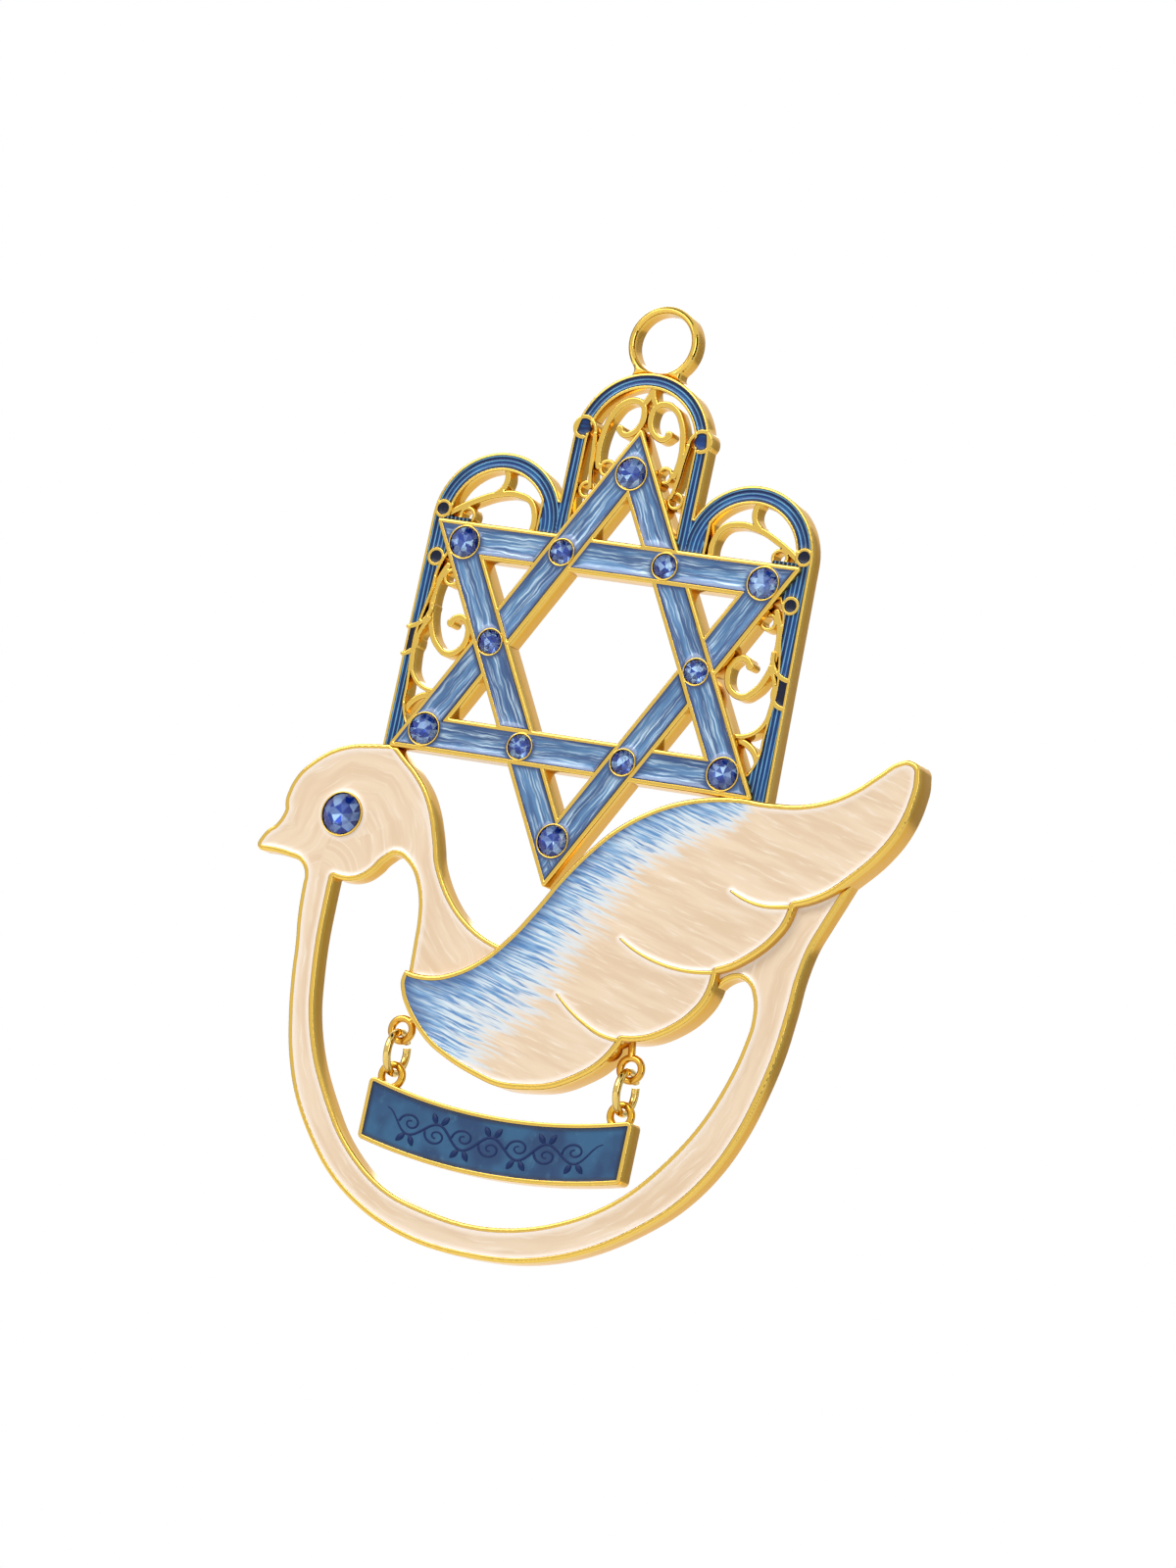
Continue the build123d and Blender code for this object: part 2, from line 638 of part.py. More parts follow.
arch_frame = raised(arch_metal, 0, arch_thickness) + raised(filigree_metal, 0, filigree_thickness)
for face in arch_cell_faces:
    arch_frame -= raised(face, arch_floor, arch_thickness)

star_cells = star_cells - wing_fill
star_frame = pocketed(
    star_region - wing_fill, star_cells, stone_places, star_thickness, star_bezel_top
)

eye_bezel_top = dove_thickness + eye_bezel_above_dove
dove_floor = dove_thickness - cell_depth
dove_flat = dove_fill - star_fill - wing_fill
dove_frame = pocketed(
    dove_flat, dove_cell, [(eye_place, eye_stone_radius)], dove_thickness, eye_bezel_top
)

lug_places = [(-left_lug_reach, -lug_centre_drop), (right_lug_reach, -lug_centre_drop)]
wing_floor = wing_thickness - cell_depth
wing_frame = raised(wing_fill, 0, wing_thickness) - raised(wing_cell, wing_floor, wing_thickness)
for place, root in zip(lug_places, hand(lug_root_shares)):
    wing_frame += lug(place, root)

hanging_ring = raised(ring_region, 0, arch_thickness)

banner_back = back_level - banner_thickness / 2
banner_front = back_level + banner_thickness / 2
banner_floor = banner_front - cell_depth
banner_cell = banner_outline(banner_rim)
banner_plate = raised(banner_outline(0), banner_back, banner_front)
for x, z in lug_places:
    banner_plate += eye_ring((x, -ear_centre_drop))
banner_plate -= raised(banner_cell, banner_floor, banner_front)

# Every piece by its name, in the plane of the ornament
pieces = {
    "arch_frame": arch_frame,
    "star_frame": star_frame,
    "dove_frame": dove_frame,
    "wing_frame": wing_frame,
    "hanging_ring": hanging_ring,
    "banner_plate": banner_plate,
    "left_jump_ring": jump_ring((lug_places[0][0], -lug_pivot_drop - link_hang)),
    "right_jump_ring": jump_ring((lug_places[1][0], -lug_pivot_drop - link_hang)),
    "dove_enamel": raised(dove_cell, dove_floor, dove_floor + enamel_thickness),
    "wing_enamel": raised(wing_cell, wing_floor, wing_floor + enamel_thickness),
    "banner_enamel": raised(banner_cell, banner_floor, banner_floor + enamel_thickness),
    "eye_stone": stone(eye_place, eye_stone_radius, eye_bezel_top),
}
for name, place in zip(tip_names, tip_places):
    pieces["tip_stone_" + name] = stone(place, tip_stone_radius, star_bezel_top)
for name, place in zip(crossing_names, crossing_places):
    pieces["crossing_stone_" + name] = stone(place, crossing_stone_radius, star_bezel_top)


def arch_cell_name(middle):
    """Name of the enamel piece that a cell of the arches belongs to."""
    side = "left" if middle.X < 0 else "right"
    if middle.Y < star_outer_reach:
        return side + "_side_enamel"
    if min((middle - eye.center()).length for eye in volute_eyes.faces()) < volute_eye_radius / 2:
        return "volute_enamel"
    if abs(middle.X) < middle_arch_radius / 2:
        return "middle_arch_enamel"
    return side + "_arch_enamel"


groups = {}
for face in arch_cell_faces:
    fill = raised(face, arch_floor, arch_floor + enamel_thickness)
    groups.setdefault(arch_cell_name(face.center()), []).append(fill)
for face in star_cells.faces():
    spread = [(face.center() - Vector(*polar(tip_stone_reach, angle))).length for angle in tip_angles]
    fill = raised(face, star_floor, star_floor + enamel_thickness)
    name = "star_enamel_" + tip_names[spread.index(min(spread))]
    groups.setdefault(name, []).append(fill)
for name, fills in groups.items():
    pieces[name] = Part() + fills

os.makedirs("parts", exist_ok=True)
upright = Pos(0, back_level, -star_drop) * Rot(90, 0, 0)
for name, piece in pieces.items():
    export_step(upright * piece, f"parts/{name}.step")
print("pieces", len(pieces))
print("left lug pivot", -left_lug_reach, 0, -star_drop - lug_pivot_drop)
print("right lug pivot", right_lug_reach, 0, -star_drop - lug_pivot_drop)
print("ear pivot", 0, -star_drop - ear_pivot_drop)
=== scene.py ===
import bmesh
import bpy
import itertools
import math
import random
from mathutils import Matrix, Vector, geometry
from mathutils.bvhtree import BVHTree
from mathutils.kdtree import KDTree

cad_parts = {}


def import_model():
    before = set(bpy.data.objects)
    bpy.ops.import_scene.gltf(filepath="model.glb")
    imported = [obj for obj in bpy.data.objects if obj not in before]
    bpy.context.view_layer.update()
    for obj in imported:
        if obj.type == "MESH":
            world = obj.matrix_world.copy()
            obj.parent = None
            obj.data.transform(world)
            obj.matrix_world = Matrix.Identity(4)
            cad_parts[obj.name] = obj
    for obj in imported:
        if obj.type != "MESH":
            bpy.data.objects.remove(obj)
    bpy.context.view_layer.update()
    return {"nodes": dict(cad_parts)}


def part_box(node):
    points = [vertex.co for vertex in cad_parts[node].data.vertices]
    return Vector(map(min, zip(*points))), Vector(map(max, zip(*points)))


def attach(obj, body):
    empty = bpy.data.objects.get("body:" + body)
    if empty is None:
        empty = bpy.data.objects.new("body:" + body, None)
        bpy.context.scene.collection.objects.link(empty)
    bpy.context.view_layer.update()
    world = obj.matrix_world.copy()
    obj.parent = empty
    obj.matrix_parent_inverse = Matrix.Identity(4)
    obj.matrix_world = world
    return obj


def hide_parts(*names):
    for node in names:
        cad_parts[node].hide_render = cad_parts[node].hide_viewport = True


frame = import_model()
nodes = frame["nodes"]
mm = 0.001

# Places shared by several pieces: the star's centre below the hanging hole and the flat back
starDrop = 40.6
backY = 1.2
flatWithin = 3e-6  # how far the points of one flat face may differ, in metres


def world(x, z, level=backY):
    # From the ornament's own plane, in millimetres, to a point of the shared frame, in metres
    return Vector((x * mm, (backY - level) * mm, (z - starDrop) * mm))


def colour(red, green, blue):
    # Linear colour from the 0 to 255 values of a screen
    def linear(value):
        value /= 255
        return value / 12.92 if value <= 0.04045 else ((value + 0.055) / 1.055) ** 2.4

    return (linear(red), linear(green), linear(blue), 1)


class Value:
    # A node socket that can be used in plain expressions
    def __init__(self, tree, socket=None):
        self.tree = tree
        self.socket = socket

    def node(self, kind, settings=None, inputs=None, output=0):
        made = self.tree.nodes.new(kind)
        for key, value in (settings or {}).items():
            setattr(made, key, value)
        for key, value in (inputs or {}).items():
            if isinstance(value, Value):
                self.tree.links.new(value.socket, made.inputs[key])
            else:
                made.inputs[key].default_value = value
        return Value(self.tree, made.outputs[output] if made.outputs else None)

    def maths(self, operation, *values):
        return self.node("ShaderNodeMath", {"operation": operation}, dict(enumerate(values)))

    def only(self, operation):
        return self.node("ShaderNodeMath", {"operation": operation}, {0: self})

    def __add__(self, other):
        return self.maths("ADD", self, other)

    def __radd__(self, other):
        return self.maths("ADD", other, self)

    def __sub__(self, other):
        return self.maths("SUBTRACT", self, other)

    def __rsub__(self, other):
        return self.maths("SUBTRACT", other, self)

    def __mul__(self, other):
        return self.maths("MULTIPLY", self, other)

    def __rmul__(self, other):
        return self.maths("MULTIPLY", other, self)

    def steps(self, low, high):
        inputs = {"Value": self, "From Min": low, "From Max": high}
        return self.node("ShaderNodeMapRange", {"interpolation_type": "SMOOTHSTEP"}, inputs)

    def blend(self, first, second):
        inputs = {0: self, 6: first, 7: second}
        return self.node("ShaderNodeMix", {"data_type": "RGBA"}, inputs, output=2)

    def stretched(self, *scales):
        # These coordinates times a scale each way
        return self.node("ShaderNodeVectorMath", {"operation": "MULTIPLY"}, {0: self, 1: scales})

    def noise(self, scale, detail=2.0, roughness=0.5, distortion=0.0):
        inputs = {"Vector": self, "Scale": scale, "Detail": detail, "Roughness": roughness}
        return self.node("ShaderNodeTexNoise", None, {**inputs, "Distortion": distortion})

    def bump(self, height, strength=1.0, normal=None):
        inputs = {"Height": self, "Distance": height, "Strength": strength}
        if normal:
            inputs["Normal"] = normal
        return self.node("ShaderNodeBump", None, inputs)


def material(name, tint):
    # New material: its start value and its surface node
    made = bpy.data.materials.new(name)
    made.use_nodes = True
    made.node_tree.nodes.clear()
    made.diffuse_color = tint
    return made, Value(made.node_tree)


def surface(made, start, inputs):
    shader = start.node("ShaderNodeBsdfPrincipled", None, inputs)
    start.node("ShaderNodeOutputMaterial", None, {"Surface": shader})
    return made


# Gilt metal: polished rims, duller down the walls, where a deeper, more orange colour is painted
# shade and painted gold-on-gold reflection, and a mottled satin back
giltSettings = {
    # The colours for down the walls and deeper still are painted shade and painted gold-on-gold
    # reflection; the wall colour also tints the back's random mottle
    "rim": colour(221, 184, 88), "wallShadeAndBackMottle": colour(213, 161, 46), "deep": colour(210, 160, 66),
    "fall": (0.0001, 0.0026), "wallSteps": (0.0, 0.35), "deepSteps": (0.3, 0.9),
    "rimRough": 0.1, "wallRough": 0.18, "roughSteps": (0.02, 0.2),
    "spread": 0.08, "patchScale": 900, "grainScale": 2600, "grainHeight": 0.000001,
    "waveScale": 420, "waveHeight": 0.000014, "strength": 0.6,
    "backAt": 1.17, "backEdge": 0.00003, "backRough": 0.3, "backMottle": 0.6,
    "backScale": 760, "backHeight": 0.00008, "backStrength": 0.7,
}


def giltMetal(name, front, s=giltSettings):
    made, start = material(name, s["rim"])
    place = start.node("ShaderNodeTexCoord", output="Object")
    height = place.node("ShaderNodeSeparateXYZ", None, {0: place}, output="Y")
    down = (height - front * mm).steps(*s["fall"])
    # Painted shade and painted gold-on-gold reflection: the colour turns darker and more orange
    # down the walls
    base = down.steps(*s["wallSteps"]).blend(s["rim"], s["wallShadeAndBackMottle"])
    base = down.steps(*s["deepSteps"]).blend(base, s["deep"])
    back = (height - s["backAt"] * mm).steps(-s["backEdge"], s["backEdge"])
    mottled = place.noise(s["backScale"], 4.0, 0.6)
    base = back.blend(base, (mottled * s["backMottle"]).blend(s["rim"], s["wallShadeAndBackMottle"]))
    grain = place.noise(s["grainScale"], 3.0)
    wave = place.noise(s["waveScale"], 1.0)
    normal = (back * mottled).bump(s["backHeight"], s["backStrength"])
    normal = wave.bump(s["waveHeight"], s["strength"], normal)
    normal = grain.bump(s["grainHeight"], s["strength"], normal)
    rough = down.steps(*s["roughSteps"]) * (s["wallRough"] - s["rimRough"]) + s["rimRough"]
    rough = rough * (1 - back) + back * s["backRough"]
    patch = place.noise(s["patchScale"], 2.0) - 0.5
    return surface(made, start, {
        "Base Color": base, "Metallic": 1.0, "Normal": normal,
        "Roughness": rough + patch * s["spread"],
    })


# Enamel: a base colour with lighter and darker threads drawn along the flow of the fill, and an
# edge colour along the rims that is painted shade in the blue fills and a painted sheen in the
# cream ones
enamelSettings = {
    "broad": (2.5, 3.2), "broadSteps": (0.36, 0.64), "specular": 0.2, "coatRough": 0.06,
    "strength": 0.5, "lineSteps": (0.66, 1.0), "fadeSteps": (0.3, 0.6), "fade": 0.6,
}


def enamel(name, settings):
    s = {**enamelSettings, **settings}
    made, start = material(name, s["middle"])
    flow = start.node("ShaderNodeUVMap", {"uv_map": "flow"})
    edge = start.node("ShaderNodeAttribute", {"attribute_name": "edge"}, output="Fac")
    warp = (flow.noise(s["warpScale"], 2.0) - 0.5) * s["warp"]
    shift = flow.node("ShaderNodeCombineXYZ", None, {"X": warp, "Y": warp})
    bent = flow.node("ShaderNodeVectorMath", {"operation": "ADD"}, {0: flow, 1: shift})
    along, across = s["streak"]
    longer, wider = s["broad"]
    fine = bent.stretched(along, across, 1).noise(1.0, 3.0, 0.6)
    broad = bent.stretched(along / longer, across / wider, 1).noise(1.0, 2.0, 0.5)
    base = broad.steps(*s["broadSteps"]).blend(s["low"], s["middle"])
    base = fine.steps(*s["threads"]).blend(base, s["high"])
    # Painted light along the rims: the edge colour is painted shade in the blue fills and a
    # painted sheen in the cream fills
    base = edge.steps(0.0, s["paintedRimWidth"] * mm).blend(s["edge"], base)
    if "brush" in s:
        base = brushed(start, bent, fine, base, s)
    inputs = {
        "Base Color": base, "Roughness": s["roughness"], "Metallic": s["pearl"],
        "Specular IOR Level": s["specular"], "Coat Weight": s["coat"],
        "Coat Roughness": s["coatRough"], "Normal": fine.bump(s["height"], s["strength"]),
    }
    if "ridges" in s:
        ridge = flow.node("ShaderNodeSeparateXYZ", None, {0: flow}, output="Y")
        wave = (ridge * (2 * math.pi / s["ridges"])).only("SINE") * 0.5 + 0.5
        kept = fine.steps(*s["fadeSteps"]) * s["fade"] + (1 - s["fade"])
        line = wave.steps(*s["lineSteps"]) * kept
        dark = start.node("ShaderNodeAttribute", {"attribute_name": "tint"}, output="Fac")
        base = dark.blend(base, s["edge"])
        line = line * (1 - dark) * s["lineStrength"]
        inputs["Base Color"] = line.blend(base, s["ridge"])
        inputs["Normal"] = wave.bump(s["ridgeHeight"], 1.0)
    return surface(made, start, inputs)


def brushed(start, bent, fine, base, s):
    # Blue drawn out from one edge in long hairs, with pale hairs between and a veil at its end
    tint = start.node("ShaderNodeAttribute", {"attribute_name": "tint"}, output="Fac")
    along, across = s["hairs"]
    shorter, closer = s["paleHairs"]
    hairs = bent.stretched(along, across, 1).noise(1.0, 3.0, 0.6)
    reach = tint + (hairs - 0.5) * s["spread"]
    pale = bent.stretched(along * shorter, across * closer, 3).noise(1.0, 3.0, 0.6)
    base = reach.steps(*s["veilSteps"]).blend(base, s["veil"])
    blue = fine.steps(*s["lightSteps"]).blend(s["brush"], s["brushHigh"])
    deep = (tint + (hairs - 0.5) * s["deepSpread"]).steps(*s["deepSteps"])
    blue = deep.blend(blue, s["brushLow"])
    between = pale.steps(*s["paleSteps"]) * (1 - tint.steps(*s["paleFade"]))
    blue = between.blend(blue, s["paleHair"])
    return reach.steps(*s["blueSteps"]).blend(base, blue)


def meshObject(name, bm, finish, body, replaced=(), leaning=None):
    # Turns a finished mesh into a piece that rides on its body
    mesh = bpy.data.meshes.new(name)
    bm.to_mesh(mesh)
    if leaning:
        mesh.normals_split_custom_set([
            leaning.get((face, loop.vert), (0, 0, 0)) for face in bm.faces for loop in face.loops])
    bm.free()
    made = bpy.data.objects.new(name, mesh)
    bpy.context.scene.collection.objects.link(made)
    mesh.materials.append(finish)
    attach(made, body)
    if replaced:
        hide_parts(*replaced)
    return made


def merged(names):
    # One clean mesh from copies of CAD nodes
    bm = bmesh.new()
    for name in names:
        bm.from_mesh(nodes[name].data)
    bmesh.ops.remove_doubles(bm, verts=bm.verts, dist=1e-7)
    bmesh.ops.recalc_face_normals(bm, faces=bm.faces)
    for layer in list(bm.loops.layers.uv.values()):
        bm.loops.layers.uv.remove(layer)
    return bm


# Fine meshes: how far from an edge its rows of points lie, in millimetres, how clear of
# other edges a row stays, how many of its points may lie in one spacing and how many
# spacings away the even points begin, and then the steps along an edge, in millimetres,
# and the sharpest bend that is shaded smooth, in degrees, of the metal and of the fills
meshSettings = {
    "rows": (0.04, 0.1, 0.2), "rowClear": 0.93, "rowCells": 1.6, "margin": 0.55,
    "nearest": 7, "onEdge": 0.03, "floorWithin": 0.02,
    "castStep": 0.02, "castBend": 38, "fillStep": 0.04, "fillBend": 50,
}


def sampled(edges, step):
    # Search tree of points along edges, in the plane of the ornament
    points = []
    for edge in edges:
        a, b = edge.verts[0].co, edge.verts[1].co
        count = max(1, math.ceil((b - a).length / step))
        points += [a.lerp(b, i / count) for i in range(count + 1)]
    tree = KDTree(len(points))
    for i, point in enumerate(points):
        tree.insert((point.x, 0, point.z), i)
    tree.balance()
    return tree


def distance(tree, point):
    return tree.find((point.x, 0, point.z))[2]


def fineTop(bm, level, gap, rows=()):
    # Replaces the flat faces at one level by a fine even mesh, with rows of points that
    # follow the outline at these distances; returns the mesh and its outlines
    top = level * mm
    faces = [
        f for f in bm.faces
        if f.normal.y < -0.99 and all(abs(v.co.y - top) < flatWithin for v in f.verts)]
    chosen = set(faces)
    rim = [e for f in faces for e in f.edges if sum(g in chosen for g in e.link_faces) == 1]
    rim = list(dict.fromkeys(rim))
    corners = list(dict.fromkeys(v for e in rim for v in e.verts))
    index = {v: i for i, v in enumerate(corners)}
    flat = [(v.co.x / mm, v.co.z / mm) for v in corners]
    cuts = [(index[e.verts[0]], index[e.verts[1]]) for e in rim]
    solid = BVHTree.FromPolygons(
        [v.co for f in faces for v in f.verts],
        [list(range(3 * i, 3 * i + 3)) for i in range(len(faces))],
    )
    inFront, backwards = -0.05, Vector((0, 1, 0))

    def inside(x, z):
        return solid.ray_cast(Vector((x * mm, inFront, z * mm)), backwards)[0] is not None

    border = sampled(rim, gap * mm / 2)
    lowX, highX = min(p[0] for p in flat), max(p[0] for p in flat)
    lowZ, highZ = min(p[1] for p in flat), max(p[1] for p in flat)
    taken, cells = set(), meshSettings["rowCells"]
    for away in rows:
        for edge in rim:
            a, b = (Vector((v.co.x / mm, v.co.z / mm)) for v in edge.verts)
            middle = next(f for f in edge.link_faces if f in chosen).calc_center_median()
            side = Vector((a.y - b.y, b.x - a.x)).normalized() * away
            if side.dot(Vector((middle.x / mm, middle.z / mm)) - a) < 0:
                side = -side
            count = max(1, round((b - a).length / gap))
            for i in range(count):
                spot = a.lerp(b, (i + 0.5) / count) + side
                cell = (away, round(spot.x / gap * cells), round(spot.y / gap * cells))
                clear = distance(border, Vector((spot.x * mm, 0, spot.y * mm)))
                enough = meshSettings["rowClear"] * away * mm
                if cell not in taken and clear >= enough and inside(*spot):
                    taken.add(cell)
                    flat.append(tuple(spot))
    margin = (rows[-1] if rows else 0) + meshSettings["margin"] * gap
    row = gap * math.sqrt(3) / 2
    for j in range(int((highZ - lowZ) / row) + 1):
        z = lowZ + j * row
        for i in range(int((highX - lowX) / gap) + 1):
            x = lowX + (i + (j % 2) / 2) * gap
            if inside(x, z) and distance(border, Vector((x * mm, 0, z * mm))) > margin * mm:
                flat.append((x, z))
    points, _, triangles, origins, _, _ = geometry.delaunay_2d_cdt(flat, cuts, [], 0, 1e-6)
    bmesh.ops.delete(bm, geom=faces, context="FACES_ONLY")
    made = {}
    for i, origin in enumerate(origins):
        if origin and origin[0] < len(corners):
            made[i] = corners[origin[0]]
        else:
            made[i] = bm.verts.new((points[i][0] * mm, top, points[i][1] * mm))
    fresh = []
    for triangle in triangles:
        x = sum(points[i][0] for i in triangle) / 3
        z = sum(points[i][1] for i in triangle) / 3
        if inside(x, z):
            a, b, c = (points[i] for i in triangle)
            turn = (b[0] - a[0]) * (c[1] - a[1]) - (b[1] - a[1]) * (c[0] - a[0])
            order = triangle if turn > 0 else triangle[::-1]
            fresh.append(bm.faces.new([made[i] for i in order]))
    loose = [v for v in bm.verts if not v.link_faces]
    bmesh.ops.delete(bm, geom=loose, context="VERTS")
    bm.normal_update()
    return fresh, rim


def lean(vert, tree, share, fresh):
    # Direction in which a rounded edge looks, for clean highlights
    nearest = tree.find_n((vert.co.x, 0, vert.co.z), meshSettings["nearest"])
    points = [found[0] for found in nearest]
    away = sum(points, Vector()) / len(points) - Vector((vert.co.x, 0, vert.co.z))
    if away.length < meshSettings["onEdge"] * mm:
        away = sum((f.normal for f in vert.link_faces if f not in fresh), Vector())
        away.y = 0
    away = away.normalized() * share
    return away - Vector((0, math.sqrt(max(0, 1 - share**2)), 0))


def cast(name, finish, node, levels, gap, outer, inner, floor=None, body="ornament"):
    # A cast frame: rounded along its outer edges and, less so, along its enamel cells
    bm = merged([node])
    leaning = {}
    step = meshSettings["castStep"] * mm
    deepest = None if floor is None else (floor + meshSettings["floorWithin"]) * mm
    for level in levels:
        faces, rim = fineTop(bm, level, gap, meshSettings["rows"])
        fresh = set(faces)
        walls, cells = [], []
        for edge in rim:
            beside = [f for f in edge.link_faces if f not in fresh]
            low = max((v.co.y for f in beside for v in f.verts), default=1)
            (cells if deepest is not None and low < deepest else walls).append(edge)
        trees = [(sampled(walls, step), outer * mm)] if walls else []
        trees += [(sampled(cells, step), inner * mm)] if cells else []
        for vert in {v for f in faces for v in f.verts}:
            shares = [
                (1 - min(distance(tree, vert.co), radius) / radius, tree, radius)
                for tree, radius in trees]
            share, tree, radius = max(shares, key=lambda c: c[2] * (1 - math.sqrt(1 - c[0] ** 2)))
            looks = lean(vert, tree, share, fresh) if share else Vector((0, -1, 0))
            leaning |= {(f, vert): looks for f in vert.link_faces if f in fresh}
            vert.co.y += radius * (1 - math.sqrt(1 - share**2))
    for face in bm.faces:
        face.smooth = True
    bm.normal_update()
    bend = math.radians(meshSettings["castBend"])
    for edge in bm.edges:
        edge.smooth = len(edge.link_faces) == 2 and edge.calc_face_angle(0) < bend
    print(name, len(bm.faces), "faces")
    return meshObject(name, bm, finish, body, [node], leaning)


def islands(bm):
    # Groups of joined faces
    left, found = set(bm.faces), []
    while left:
        island, queue = [], [left.pop()]
        while queue:
            face = queue.pop()
            island.append(face)
            for other in {f for edge in face.edges for f in edge.link_faces} & left:
                left.remove(other)
                queue.append(other)
        found.append(island)
    return found


def fill(name, finish, names, s, flow, body="ornament", tint=None):
    # An enamel fill that climbs a little up the metal round it; narrow cells may be tinted
    # all over
    bm = merged(names)
    faces, rim = fineTop(bm, s["level"], s["gap"])
    tree = sampled(rim, meshSettings["fillStep"] * mm)
    edgeLayer = bm.verts.layers.float.new("edge")
    tintLayer = bm.verts.layers.float.new("tint")
    uv = bm.loops.layers.uv.new("flow")
    for vert in bm.verts:
        away = distance(tree, vert.co)
        vert[edgeLayer] = away
        if abs(vert.co.y - s["level"] * mm) < flatWithin:
            vert.co.y -= s["rise"] * mm * math.exp(-away / (s["reach"] * mm))
        if tint:
            vert[tintLayer] = tint(vert.co.x / mm, vert.co.z / mm + starDrop)
    for island in islands(bm) if "tintedUnder" in s else ():
        verts = {v for face in island for v in face.verts}
        wide = max(v.co.x for v in verts) - min(v.co.x for v in verts)
        if wide < s["tintedUnder"] * mm:
            for vert in verts:
                vert[tintLayer] = 1
    flow(bm, uv)
    for face in bm.faces:
        face.smooth = face.normal.y < -0.3
    bend = math.radians(meshSettings["fillBend"])
    for edge in bm.edges:
        edge.smooth = len(edge.link_faces) == 2 and edge.calc_face_angle(0) < bend
    print(name, len(bm.faces), "faces")
    return meshObject(name, bm, finish, body, names)


# The star's bars: from the middle of the star to the middle of a bar, half a bar's width
# with a little over, and how far apart the threads of two bars are taken
barSettings = {"middle": 12.5, "half": 2.4, "apart": 40}


def barFlow(bm, uv):
    # Threads follow the bars of the star; an island takes the fewest bars that cover it
    angles = [math.radians(a) for a in range(30, 390, 60)]
    bars = [Vector((math.cos(a), 0, math.sin(a))) for a in angles]

    def offset(point, bar):
        return point.dot(bar) / mm + starDrop * bar.z - barSettings["middle"]

    for island in islands(bm):
        points = [v.co for face in island for v in face.verts]
        choices = [c for n in (1, 2, 3) for c in itertools.combinations(bars, n)]
        fitting = (
            c for c in choices
            if all(min(abs(offset(p, b)) for b in c) < barSettings["half"] for p in points))
        chosen = next(fitting, bars)
        for face in island:
            middle = face.calc_center_median()
            bar = min(chosen, key=lambda b: abs(offset(middle, b)))
            for loop in face.loops:
                p = loop.vert.co
                along = (p.z / mm + starDrop) * bar.x - p.x / mm * bar.z
                loop[uv].uv = (along + barSettings["apart"] * bars.index(bar), offset(p, bar))


def straightFlow(angle):
    # Threads in one direction
    c, s = math.cos(math.radians(angle)), math.sin(math.radians(angle))

    def flow(bm, uv):
        for face in bm.faces:
            for loop in face.loops:
                x, z = loop.vert.co.x / mm, loop.vert.co.z / mm + starDrop
                loop[uv].uv = (c * x + s * z, c * z - s * x)

    return flow


def nearestOn(line, x, z):
    # Length along a line of points and signed distance from it
    best, run = (1e9, 0, 0), 0
    for (ax, az), (bx, bz) in zip(line, line[1:]):
        dx, dz = bx - ax, bz - az
        length = math.hypot(dx, dz)
        t = min(1, max(0, ((x - ax) * dx + (z - az) * dz) / length**2))
        px, pz = x - ax - t * dx, z - az - t * dz
        away = math.hypot(px, pz)
        if away < best[0]:
            side = 1 if dx * pz - dz * px > 0 else -1
            best = (away, run + t * length, side * away)
        run += length
    return best


def lineFlow(lines, apart=100):
    # Threads follow the nearest of several lines, and those of two lines are taken far apart
    def flow(bm, uv):
        for face in bm.faces:
            middle = face.calc_center_median()
            x, z = middle.x / mm, middle.z / mm + starDrop
            line = min(lines, key=lambda each: nearestOn(each, x, z)[0])
            for loop in face.loops:
                found = nearestOn(line, loop.vert.co.x / mm, loop.vert.co.z / mm + starDrop)
                loop[uv].uv = (found[1] + apart * lines.index(line), found[2])

    return flow


def archFlow(centres):
    # Ridges run round an arch and straight down its legs
    def flow(bm, uv):
        for face in bm.faces:
            middle = face.calc_center_median()
            x, z = middle.x / mm, middle.z / mm + starDrop
            cx, cz, radius = min(
                centres, key=lambda c: abs(math.hypot(x - c[0], max(z - c[1], 0)) - c[2]))
            for loop in face.loops:
                px, pz = loop.vert.co.x / mm - cx, loop.vert.co.z / mm + starDrop - cz
                across = math.hypot(px, max(pz, 0)) - radius
                along = pz if pz < 0 else radius * math.atan2(pz, abs(px))
                loop[uv].uv = (along, across)

    return flow


print("mesh tools ready")

# Cast frames: the heights of their front faces, the spacing of their points, and how far
# their outer edges and the edges of their enamel cells are rounded, in millimetres
castSettings = {
    "archGilt": {
        "node": "arch_frame", "levels": (-1.2, -0.9), "gap": 0.13,
        "outer": 0.2, "inner": 0.07, "floor": -0.63},
    "doveGilt": {
        "node": "dove_frame", "levels": (-1.4, -1.75), "gap": 0.14,
        "outer": 0.26, "inner": 0.09, "floor": -0.83},
    "starGilt": {
        "node": "star_frame", "levels": (-1.8, -2.0), "gap": 0.13,
        "outer": 0.24, "inner": 0.08, "floor": -1.23},
    "wingGilt": {
        "node": "wing_frame", "levels": (-2.6,), "gap": 0.15,
        "outer": 0.32, "inner": 0.12, "floor": -2.03},
    "ringGilt": {
        "node": "hanging_ring", "levels": (-1.2,), "gap": 0.12, "outer": 0.75, "inner": 0.1},
    "bannerGilt": {
        "node": "banner_plate", "levels": (-1.3,), "gap": 0.15,
        "outer": 0.2, "inner": 0.08, "floor": -0.73, "body": "banner"},
}
for name, settings in castSettings.items():
    cast(name, giltMetal(name, settings["levels"][0]), **settings)
print("frames ready")

